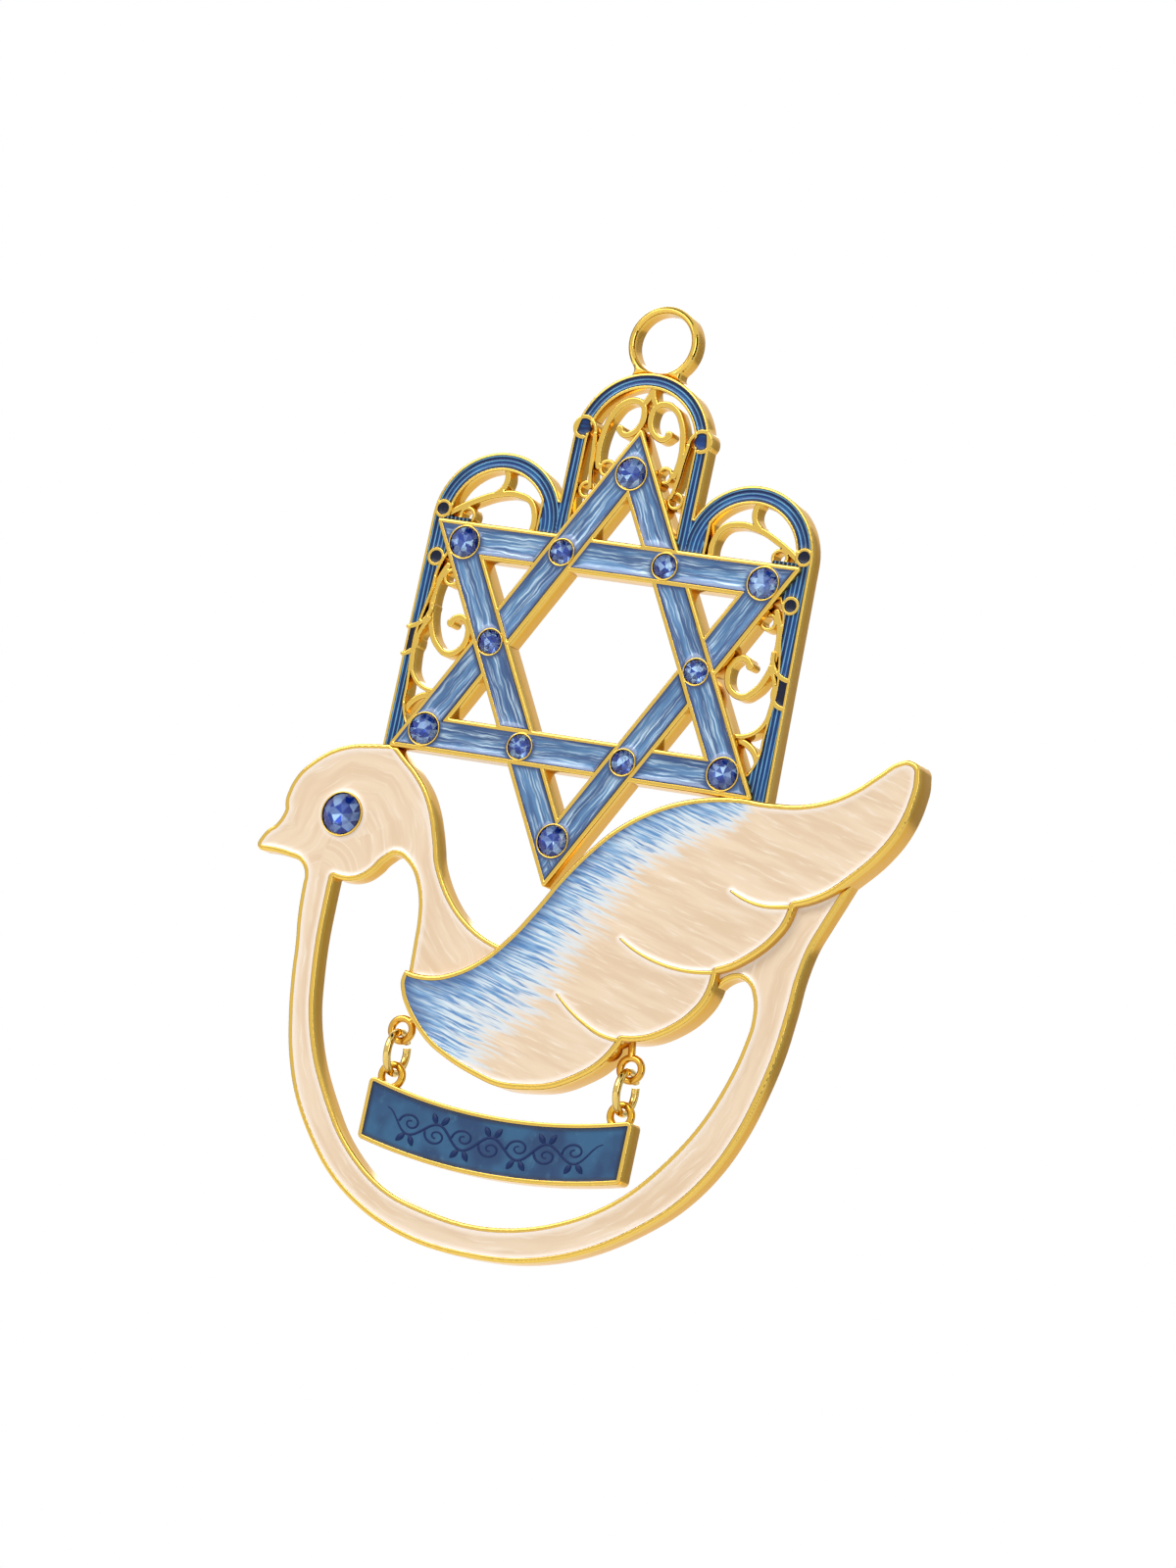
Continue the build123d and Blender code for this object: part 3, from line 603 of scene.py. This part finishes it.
# Star fill: pearly mid blue with pale threads, their whiteness partly a painted sheen, and a
# darker painted shade along the rims. The level, gap, rise and reach of each fill are its
# height, the spacing of its points, and how high and how far it climbs at its rim
starSettings = {
    "level": -1.68, "gap": 0.26, "rise": 0.2, "reach": 0.85,
    # The pale high colour is partly a painted sheen; the edge colour is painted shade along the
    # rims
    "low": colour(40, 78, 128), "middle": colour(78, 126, 172), "high": colour(190, 216, 234),
    "edge": colour(32, 62, 112), "paintedRimWidth": 0.7, "threads": (0.47, 0.7), "streak": (0.16, 3.4),
    "warpScale": 0.3, "warp": 0.8, "roughness": 0.3, "pearl": 0.2, "coat": 1.0, "height": 0.00003,
}
starEnamel = enamel("starEnamel", starSettings)
starNodes = [name for name in nodes if name.startswith("star_enamel_")]
fill("starFill", starEnamel, starNodes, starSettings, barFlow)

# Arch fill: dark teal blue over ridges, with painted shade along the rims, darker still inside the
# eyelets
archSettings = {
    "level": -1.08, "gap": 0.3, "rise": 0.07, "reach": 0.25, "tintedUnder": 1.9,
    "low": colour(4, 30, 78), "middle": colour(8, 58, 122), "high": colour(24, 96, 156),
    # The edge colour is painted shade along the rims; narrow cells such as the eyelets take it all
    # over
    "edge": colour(2, 12, 40), "paintedRimWidth": 0.4, "threads": (0.5, 0.8), "streak": (0.18, 1.6),
    "warpScale": 0.3, "warp": 0.5, "roughness": 0.3, "pearl": 0.1, "coat": 0.15, "height": 0.00001,
    "ridges": 0.56, "ridge": colour(120, 186, 222), "ridgeHeight": 0.00003, "lineStrength": 0.8,
}
archEnamel = enamel("archEnamel", archSettings)
archNodes = [
    "middle_arch_enamel", "left_arch_enamel", "right_arch_enamel",
    "left_side_enamel", "right_side_enamel"]
archCentres = [(0, 27.2, 8.45), (-17.55, 15.25, 7.83), (17.55, 15.25, 7.83)]
fill("archFill", archEnamel, archNodes, archSettings, archFlow(archCentres))

# Volute fill: the same without ridges
voluteSettings = {**archSettings, "gap": 0.2}
del voluteSettings["ridges"], voluteSettings["tintedUnder"]
voluteEnamel = enamel("voluteEnamel", voluteSettings)
fill("voluteFill", voluteEnamel, ["volute_enamel"], voluteSettings, straightFlow(0))

# Dove fill: pearly cream, its threads along the neck and round the loop, with a paler painted
# sheen along the rims
doveSettings = {
    "level": -1.28, "gap": 0.34, "rise": 0.14, "reach": 0.6,
    "low": colour(230, 201, 166), "middle": colour(239, 214, 183), "high": colour(250, 234, 214),
    # The pale edge colour is a painted sheen along the rims
    "edge": colour(250, 235, 220), "paintedRimWidth": 0.8, "threads": (0.5, 0.8), "streak": (0.14, 1.7),
    "warpScale": 0.12, "warp": 2.2, "roughness": 0.3, "pearl": 0.05, "coat": 1.0,
    "height": 0.00002,
}
loopLine = [
    (-31.3, -32.9), (-30.9, -40.7), (-29.7, -49.7), (-28.1, -54.8), (-25.8, -59.5), (-22.4, -64.4),
    (-18.7, -68.2), (-14.3, -70.9), (-7.2, -73.2), (0.7, -73.9), (8.3, -73.0), (13.9, -71.1),
    (20.2, -67.5), (25.6, -62.4), (29.1, -57.4), (31.4, -52.4), (32.8, -47.4), (33.7, -41.6),
    (34.1, -35.0), (36.8, -28.7),
]
neckLine = [
    (-39.0, -29.0), (-35.5, -27.0), (-34.5, -22.0), (-30.0, -18.5), (-24.5, -19.0), (-20.5, -23.0),
    (-18.5, -29.0), (-15.5, -34.5), (-10.0, -40.0),
]
creamEnamel = enamel("creamEnamel", doveSettings)
creamFlow = lineFlow([loopLine, neckLine])
fill("doveFill", creamEnamel, ["dove_enamel"], doveSettings, creamFlow)

# Wing fill: the same cream, with its painted sheen along the rims, brushed with blue from its
# upper edge
wingSettings = {
    **doveSettings, "level": -2.48, "rise": 0.16, "reach": 0.8, "streak": (0.2, 1.9), "warp": 1.0,
    "brush": colour(82, 136, 194), "brushHigh": colour(146, 188, 224),
    "brushLow": colour(48, 86, 140), "paleHair": colour(222, 234, 240),
    "veil": colour(226, 230, 232), "hairs": (0.12, 2.1), "paleHairs": (1.3, 1.6),
    "spread": 2.0, "veilSteps": (-0.2, 0.28), "blueSteps": (0.22, 0.5),
    "lightSteps": (0.38, 0.62), "deepSpread": 0.6, "deepSteps": (0.72, 1.02),
    "paleSteps": (0.46, 0.6), "paleFade": (0.66, 0.98),
    "depth": 13, "narrowing": 0.26, "narrowingFrom": -10, "slant": -14,
}
wingEnamel = enamel("wingEnamel", wingSettings)
wingFlow = straightFlow(wingSettings["slant"])
wingEdge = [
    (-13.0, -49.0), (-15.6, -46.4), (-16.2, -42.6), (-11.6, -42.4), (-8.6, -41.3), (-5.6, -39.2),
    (-2.6, -35.9), (0.1, -31.9), (2.4, -28.1), (5.4, -24.1), (8.4, -20.9), (11.4, -18.6),
    (15.4, -16.6), (19.4, -15.4), (22.5, -14.8),
]


def wingTint(x, z):
    # One at the upper edge and nought where the brushed blue ends, nearer towards the tail
    s = wingSettings
    depth = s["depth"] - s["narrowing"] * max(0, x - s["narrowingFrom"])
    return 1 - nearestOn(wingEdge, x, z)[0] / max(1.0, depth)


fill("wingFill", wingEnamel, ["wing_enamel"], wingSettings, wingFlow,
     tint=wingTint)

# Banner fill: translucent teal blue, the ground of the leaf vine, with painted shade along the
# rims
bannerSettings = {
    "level": -1.18, "gap": 0.3, "rise": 0.08, "reach": 0.3,
    "low": colour(20, 62, 106), "middle": colour(38, 92, 132), "high": colour(66, 118, 150),
    # The edge colour is painted shade along the rims
    "edge": colour(8, 24, 56), "paintedRimWidth": 0.7, "threads": (0.55, 0.9), "streak": (0.5, 0.6),
    "warpScale": 0.3, "warp": 1.0, "roughness": 0.3, "pearl": 0.1, "coat": 0.6, "height": 0.00001,
}
bannerEnamel = enamel("bannerEnamel", bannerSettings)
fill("bannerFill", bannerEnamel, ["banner_enamel"], bannerSettings, straightFlow(90),
     body="banner")
print("fills ready")

# Banner vine: a waving stem with a curl in each bend and small leaves outside it
vineSettings = {
    "radius": 75.85, "centre": (0.15, 13.76), "bends": 4, "bend": 3.85, "wave": 1.15,
    "stroke": 0.36, "stemSteps": 120, "stemThinning": 0.6, "level": 2.39, "flat": 0.35,
    "curl": (1.7, 0.32, 1.3), "curlSteps": 40, "curlStart": 168, "curlMiddle": -0.3,
    "curlFlat": 0.75, "curlWinding": 0.7, "curlThick": 0.9, "curlThinning": 0.3,
    "leaf": (1.55, 0.75), "leafSteps": 12, "leafStart": 0.25, "leafAcross": (0.8, 0.75),
    "leafUp": 0.8, "leafTip": 0.15, "leafRound": 0.8,
    "tint": colour(14, 40, 90), "roughness": 0.4, "specular": 0.2,
}


def onBanner(along, up):
    s = vineSettings
    turn, radius = along / s["radius"], s["radius"] - up
    return s["centre"][0] + radius * math.sin(turn), s["centre"][1] - radius * math.cos(turn)


def vineStrokes(s):
    # Each stroke is a run of points along and up the banner with the share of its width
    stem = []
    for i in range(s["stemSteps"] + 1):
        run = 2 * i / s["stemSteps"] - 1
        along = run * s["bends"] * s["bend"]
        up = s["wave"] * math.cos(along * math.pi / s["bend"])
        stem.append((along, up, 1 - s["stemThinning"] * run**4))
    strokes = [stem]
    wide, narrow, turns = s["curl"]
    length, width = s["leaf"]
    spread, narrowing = s["leafAcross"]
    for k in range(1 - s["bends"], s["bends"]):
        middle, side = k * s["bend"], 1 - 2 * (k % 2)
        curl, count = [], s["curlSteps"]
        for i in range(count + 1):
            angle = math.radians(s["curlStart"]) + 2 * math.pi * turns * i / count
            radius = wide + (narrow - wide) * (i / count) ** s["curlWinding"]
            up = s["curlMiddle"] + s["curlFlat"] * radius * math.sin(angle)
            thick = s["curlThick"] - s["curlThinning"] * i / count
            curl.append((middle + radius * math.cos(angle), side * up, thick))
        strokes.append(curl)
        for way in (-1, 1):
            leaf = []
            for i in range(s["leafSteps"] + 1):
                run = i / s["leafSteps"]
                across = way * (s["leafStart"] + spread * run) * length * narrowing
                up = side * (s["wave"] + run * length * s["leafUp"])
                swell = math.sin(math.pi * run) ** s["leafRound"]
                thick = s["leafTip"] + width / s["stroke"] * swell
                leaf.append((middle + across, up, thick))
            strokes.append(leaf)
    return strokes


def vine(s):
    shape = bpy.data.curves.new("vineStrokes", "CURVE")
    shape.dimensions, shape.use_fill_caps = "3D", True
    shape.bevel_depth, shape.bevel_resolution = s["stroke"] / 2 * mm, 3
    for stroke in vineStrokes(s):
        spline = shape.splines.new("POLY")
        spline.points.add(len(stroke) - 1)
        for point, (along, up, share) in zip(spline.points, stroke):
            point.co = (*world(*onBanner(along, up), s["level"]), 1)
            point.radius = share
    drawn = bpy.data.objects.new("vineStrokes", shape)
    bpy.context.scene.collection.objects.link(drawn)
    bpy.context.view_layer.update()
    bm = bmesh.new()
    bm.from_mesh(drawn.to_mesh())
    drawn.to_mesh_clear()
    bpy.data.objects.remove(drawn)
    bpy.data.curves.remove(shape)
    base = (backY - s["level"]) * mm
    for vert in bm.verts:
        vert.co.y = base + (vert.co.y - base) * s["flat"]
    bmesh.ops.remove_doubles(bm, verts=bm.verts, dist=1e-8)
    bmesh.ops.recalc_face_normals(bm, faces=bm.faces)
    made, start = material("vine", s["tint"])
    surface(made, start, {
        "Base Color": s["tint"], "Roughness": s["roughness"], "Specular IOR Level": s["specular"]})
    return meshObject("bannerVine", bm, made, "banner")


vine(vineSettings)
print("vine ready")

# Stones: a clear faceted crown over a foiled pavilion whose wedges are painted light and dark at
# random, painted glints and painted shade of the facets
stoneSettings = {
    "tip": (2.0, 3.2), "crossing": (1.6, 3.2), "eye": (2.68, 2.95), "sink": 0.1,
    "table": 0.54, "tableRise": 0.34, "star": 0.8, "starRise": 0.19, "girdle": 0.975,
    "depth": 0.72, "under": 0.5, "underDepth": 0.6, "seed": 7, "turn": 0.7,
    "glass": colour(214, 234, 255), "glassIndex": 1.5,
    "foilLow": colour(18, 62, 156), "paintedFacetGlint": colour(218, 240, 255),
    "foilMetal": 0.7, "foilRough": 0.25, "shades": (0.0, 0.0, 0.1, 0.25, 0.6, 1.0),
}


def stoneMaterials(s):
    glass, start = material("stoneGlass", s["glass"])
    surface(glass, start, {
        "Base Color": s["glass"], "Roughness": 0.0, "Transmission Weight": 1.0,
        "IOR": s["glassIndex"]})
    foil, start = material("stoneFoil", s["foilLow"])
    shade = start.node("ShaderNodeAttribute", {"attribute_name": "shade"}, output="Fac")
    surface(foil, start, {
        "Base Color": shade.blend(s["foilLow"], s["paintedFacetGlint"]),
        "Metallic": s["foilMetal"], "Roughness": s["foilRough"]})
    return glass, foil


def gems(name, places, s, finishes):
    bm = bmesh.new()
    shade = bm.faces.layers.float.new("shade")
    dice = random.Random(s["seed"])
    for _, x, z, radius, top in places:
        turn = dice.uniform(0, s["turn"])

        def ring(count, share, level, shift=0.0):
            angles = [turn + 2 * math.pi * (i + shift) / count for i in range(count)]
            reach = share * radius
            return [
                bm.verts.new(world(x + reach * math.cos(a), z + reach * math.sin(a), level))
                for a in angles]

        seat = top - s["sink"]
        girdle = ring(16, s["girdle"], seat)
        star = ring(8, s["star"], seat + s["starRise"] * radius, 0.5)
        table = ring(8, s["table"], seat + s["tableRise"] * radius)
        deep = ring(8, s["under"], seat - s["depth"] * s["underDepth"])
        tip = bm.verts.new(world(x, z, seat - s["depth"]))
        bm.faces.new(table)
        under = []
        for i in range(8):
            j, before = (i + 1) % 8, (i - 1) % 8
            bm.faces.new((table[i], star[i], table[j]))
            bm.faces.new((table[i], star[before], girdle[2 * i], star[i]))
            bm.faces.new((star[i], girdle[2 * i], girdle[2 * i + 1]))
            bm.faces.new((star[i], girdle[2 * i + 1], girdle[2 * j]))
            under.append(bm.faces.new((girdle[2 * i], deep[i], girdle[2 * i + 1])))
            under.append(bm.faces.new((girdle[2 * i + 1], deep[j], girdle[2 * j])))
            under.append(bm.faces.new((girdle[2 * i + 1], deep[i], deep[j])))
            under.append(bm.faces.new((deep[i], tip, deep[j])))
        for face in under:
            face.material_index = 1
            # Each pavilion facet gets a random painted glint or painted shade
            face[shade] = dice.choice(s["shades"])
    bmesh.ops.recalc_face_normals(bm, faces=bm.faces)
    made = meshObject(name, bm, finishes[0], "ornament", [p[0] for p in places])
    made.data.materials.append(finishes[1])
    return made


def middleOf(node):
    low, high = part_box(node)
    return (low.x + high.x) / 2 / mm, (low.z + high.z) / 2 / mm + starDrop


finishes = stoneMaterials(stoneSettings)


def placesOf(start, size):
    # Name, middle, radius and height of each stone of one size
    names = sorted(name for name in nodes if name.startswith(start))
    return [(name, *middleOf(name), *stoneSettings[size]) for name in names]


starPlaces = placesOf("tip_stone_", "tip") + placesOf("crossing_stone_", "crossing")
gems("starStones", starPlaces, stoneSettings, finishes)
gems("eyeStone", placesOf("eye_stone", "eye"), stoneSettings, finishes)
print("stones ready")

# Jump rings: round wire, turned most of the way round, with flat cut ends
ringSettings = {
    "radius": 2.6, "wire": 0.5, "opening": 12.0, "turn": 60.0, "steps": 84, "sides": 20,
    "tint": colour(216, 186, 106),
}


def jumpRing(name, node, s):
    low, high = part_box(node)
    centre = (low + high) / 2
    bm = bmesh.new()
    start = math.radians(90 - s["turn"] + s["opening"] / 2)
    bmesh.ops.create_circle(bm, segments=s["sides"], radius=s["wire"] * mm, cap_ends=True)
    place = Matrix.Translation(centre) @ Matrix.Rotation(start, 4, "X") @ Matrix.Translation(
        (0, s["radius"] * mm, 0))
    bmesh.ops.transform(bm, matrix=place, verts=bm.verts)
    ends = bm.verts[:] + bm.edges[:] + bm.faces[:]
    bmesh.ops.spin(
        bm, geom=ends, cent=centre, axis=(1, 0, 0), dvec=(0, 0, 0), steps=s["steps"],
        angle=math.radians(360 - s["opening"]), use_duplicate=False)
    bmesh.ops.recalc_face_normals(bm, faces=bm.faces)
    for face in bm.faces:
        face.smooth = len(face.verts) == 4
    bm.normal_update()
    return meshObject(name, bm, wireGilt, "rings", [node])


# The front and the back are put beyond the wire, so that all of it is polished like a rim and
# none of it takes the painted wall shade
beyond = 9
wireSettings = {**giltSettings, "rim": ringSettings["tint"], "backAt": beyond}
wireGilt = giltMetal("wireGilt", beyond, wireSettings)
jumpRing("leftJumpRing", "left_jump_ring", ringSettings)
jumpRing("rightJumpRing", "right_jump_ring", ringSettings)
print("rings ready")

# Studio: white all round, soft lamps, and dark boards that the metal mirrors
def whiteness(start, share):
    # Strength for rays that come from the camera, a mirror or glass
    rays = [start.node("ShaderNodeLightPath", output=key) for key in (
        "Is Camera Ray", "Is Glossy Ray", "Is Transmission Ray")]
    return start.maths("MAXIMUM", start.maths("MAXIMUM", *rays[:2]), rays[2]) * share


def card(name, place, towards, width, height, grey, glow=0.0):
    # A flat board of the studio that faces a point
    bm = bmesh.new()
    bmesh.ops.create_grid(bm, x_segments=1, y_segments=1, size=0.5)
    turned = (Vector(towards) - Vector(place)).to_track_quat("Z", "Y").to_matrix().to_4x4()
    size = Matrix.Diagonal((width, height, 1, 1))
    bmesh.ops.transform(bm, matrix=Matrix.Translation(place) @ turned @ size, verts=bm.verts)
    mesh = bpy.data.meshes.new(name)
    bm.to_mesh(mesh)
    bm.free()
    tint = (grey, grey, grey, 1)
    made, start = material(name, tint)
    mesh.materials.append(surface(made, start, {
        "Base Color": tint, "Roughness": 0.9, "Emission Color": (1, 1, 1, 1),
        "Emission Strength": whiteness(start, glow)}))
    board = bpy.data.objects.new(name, mesh)
    bpy.context.scene.collection.objects.link(board)
    return board


def lamp(name, place, towards, size, power):
    data = bpy.data.lights.new(name, "AREA")
    data.shape = "RECTANGLE"
    data.size, data.size_y = size
    data.energy = power
    made = bpy.data.objects.new(name, data)
    made.location = place
    made.rotation_mode = "QUATERNION"
    made.rotation_quaternion = (Vector(place) - Vector(towards)).to_track_quat("Z", "Y")
    bpy.context.scene.collection.objects.link(made)
    return made


studioSettings = {
    "target": (0, 0, -0.055), "sky": 0.45,
    "floor": {"place": (0, 0, -0.32), "width": 40, "height": 40, "grey": 0.85, "glow": 0.45},
    "lamps": {
        "keyLight": {"place": (-0.6, -1.2, 0.8), "size": (1.3, 0.8), "power": 15},
        "sideLight": {"place": (1.3, -0.9, 0.3), "size": (0.4, 1.0), "power": 3},
        "backLight": {"place": (-0.7, 1.1, 0.7), "size": (0.9, 0.6), "power": 6},
    },
    "boards": {
        "boardBehind": {"place": (0.85, 1.15, 0.25), "width": 0.9, "height": 1.4, "grey": 0.7},
        "boardRight": {"place": (1.1, -0.2, 0.0), "width": 0.7, "height": 1.6, "grey": 0.02},
        "boardLeft": {"place": (-1.15, 0.2, 0.1), "width": 0.5, "height": 1.6, "grey": 0.02},
        "boardAbove": {"place": (-0.1, -0.35, 1.1), "width": 1.4, "height": 0.4, "grey": 0.02},
    },
}
card("floor", towards=(0, 0, 1), **studioSettings["floor"])
for name, settings in studioSettings["lamps"].items():
    lamp(name, towards=studioSettings["target"], **settings)
for name, settings in studioSettings["boards"].items():
    board = card(name, towards=studioSettings["target"], **settings)
    board.visible_camera = False

studioWorld = bpy.data.worlds.new("studio")
bpy.context.scene.world = studioWorld
studioWorld.use_nodes = True
studioWorld.node_tree.nodes.clear()
sky = Value(studioWorld.node_tree)
shine = whiteness(sky, 1 - studioSettings["sky"]) + studioSettings["sky"]
light = sky.node("ShaderNodeBackground", None, {"Color": (1, 1, 1, 1), "Strength": shine})
sky.node("ShaderNodeOutputWorld", None, {"Surface": light})

# Camera at the photograph's angle, set off from the star's front to frame the whole picture
cameraSettings = {
    "front": 3.0, "towards": (0.4457, -0.8876, -0.1160), "upward": (-0.1368, -0.1956, 0.9711),
    "distance": 0.9, "right": 0.512, "up": 15.76, "lens": 166.6, "sensor": 36, "clip": (0.05, 20),
}
starPlace = world(0, 0, cameraSettings["front"])
toCamera = Vector(cameraSettings["towards"]).normalized()
upward = Vector(cameraSettings["upward"]).normalized()
across = upward.cross(toCamera).normalized()
upward = toCamera.cross(across).normalized()
data = bpy.data.cameras.new("camera")
data.lens = cameraSettings["lens"]
data.sensor_width = cameraSettings["sensor"]
data.clip_start, data.clip_end = cameraSettings["clip"]
camera = bpy.data.objects.new("camera", data)
place = starPlace + toCamera * cameraSettings["distance"]
place -= across * cameraSettings["right"] * mm + upward * cameraSettings["up"] * mm
camera.matrix_world = Matrix((
    (across.x, upward.x, toCamera.x, place.x),
    (across.y, upward.y, toCamera.y, place.y),
    (across.z, upward.z, toCamera.z, place.z),
    (0, 0, 0, 1),
))
bpy.context.scene.collection.objects.link(camera)
bpy.context.scene.camera = camera
bpy.context.scene.view_settings.view_transform = "Standard"
print("studio ready")
